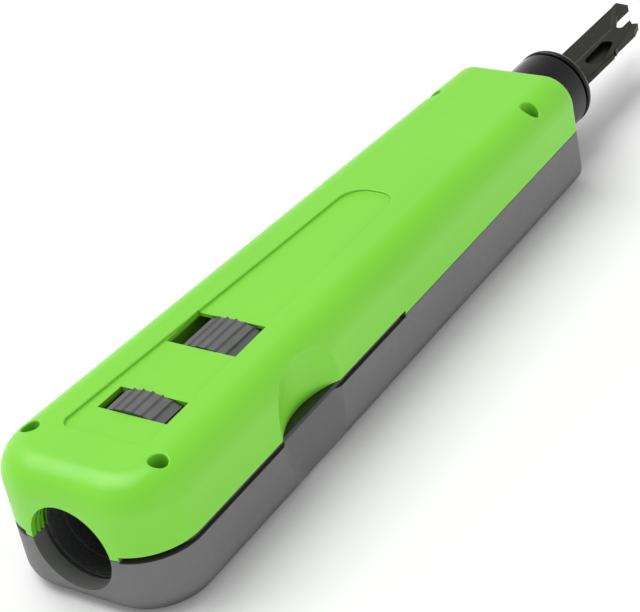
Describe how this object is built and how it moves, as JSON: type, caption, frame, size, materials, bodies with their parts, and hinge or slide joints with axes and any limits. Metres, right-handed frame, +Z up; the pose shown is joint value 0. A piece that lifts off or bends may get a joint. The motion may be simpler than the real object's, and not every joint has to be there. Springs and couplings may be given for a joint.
{
  "type": "punch down tool",
  "caption": "Hand tool that seats wires in insulation-displacement contacts with a sprung hammer blow, with selectable force, a spare blade store and fold-out hook and spudger.",
  "frame": {"origin": "on the resting plane, under the middle of the tool's overall box", "axes": "+X along the tool from the tail to the blade, +Y to its left, +Z up from its flat underside"},
  "size_m": [0.1666, 0.0312, 0.0221],
  "materials": {
    "green_shell": "bright lime green moulded plastic, satin",
    "grey_shell": "mid grey moulded plastic, fine matt texture",
    "grey_collar": "mid grey moulded plastic, matt",
    "tube_plastic": "dark grey moulded plastic, satin",
    "seat_plastic": "black acetal, satin",
    "bush_plastic": "black acetal, satin",
    "screw_steel": "zinc plated steel",
    "tool_steel": "dark stamped steel, satin",
    "spring_steel": "oiled spring wire",
    "sleeve_steel": "drawn steel tube",
    "hammer_steel": "turned steel",
    "latch_steel": "hardened steel",
    "black_plunger": "black oxide on turned steel, satin",
    "black_blade": "black oxide on forged steel, satin",
    "cutter_steel": "black oxide on hardened steel, satin"
  },
  "bodies": {
    "handle": {"upper_housing": "green_shell", "lower_housing": "grey_shell", "housing_screws": "screw_steel", "storage_tube": "tube_plastic", "guide_sleeve": "sleeve_steel", "nose_bush": "bush_plastic", "main_spring": "spring_steel"},
    "store_lock": {"store_lock_collar": "grey_collar"},
    "force_selector": {"force_selector_collar": "grey_collar"},
    "spring_seat": {"spring_seat": "seat_plastic"},
    "plunger": {"plunger": "black_plunger", "retaining_ring": "spring_steel", "blade_detent_pin": "latch_steel", "detent_band": "spring_steel"},
    "blade": {"punch_blade": "black_blade", "blade_cutter": "cutter_steel"},
    "hammer": {"hammer": "hammer_steel", "return_spring": "spring_steel", "latch_spring": "spring_steel"},
    "latch": {"trigger_latch": "latch_steel"},
    "hook": {"wire_hook": "tool_steel"},
    "spudger": {"spudger": "tool_steel"}
  },
  "joints": [
    {"name": "blade_press", "type": "slide", "parent": "handle", "child": "plunger", "axis": [1, 0, 0], "range_m": [-0.008, 0], "stiffness_N_per_m": 300},
    {"name": "hammer_cock", "type": "slide", "parent": "handle", "child": "hammer", "axis": [1, 0, 0], "range_m": [-0.008, 0], "stiffness_N_per_m": 9000, "deforming": ["main_spring"]},
    {"name": "latch_slide", "type": "slide", "parent": "hammer", "child": "latch", "axis": [0, 1, 0], "range_m": [-0.0016, 0], "stiffness_N_per_m": 200, "deforming": ["latch_spring"]},
    {"name": "blade_twist", "type": "hinge", "parent": "plunger", "child": "blade", "pos_m": [0.0533, 0, 0.0101], "axis": [1, 0, 0], "range_deg": [0, 90]},
    {"name": "force_select", "type": "hinge", "parent": "handle", "child": "force_selector", "pos_m": [-0.045, 0, 0.0101], "axis": [1, 0, 0], "range_deg": [-11, 0]},
    {"name": "seat_advance", "type": "slide", "parent": "handle", "child": "spring_seat", "axis": [1, 0, 0], "range_m": [0, 0.001]},
    {"name": "store_lock_turn", "type": "hinge", "parent": "handle", "child": "store_lock", "pos_m": [-0.0637, 0, 0.0101], "axis": [1, 0, 0], "range_deg": [-5, 0]},
    {"name": "hook_fold", "type": "hinge", "parent": "handle", "child": "hook", "pos_m": [-0.0741, -0.0115, 0.0101], "axis": [0, 0, 1], "range_deg": [-170, 0]},
    {"name": "spudger_fold", "type": "hinge", "parent": "handle", "child": "spudger", "pos_m": [-0.0741, 0.0115, 0.0101], "axis": [0, 0, 1], "range_deg": [0, 170]}
  ],
  "couplings": [
    {"joint": "hammer_cock", "follows": "blade_press", "ratio": 1},
    {"joint": "latch_slide", "follows": "blade_press", "ratio": 0.2},
    {"joint": "seat_advance", "follows": "force_select", "m_per_rad": -0.0052}
  ]
}
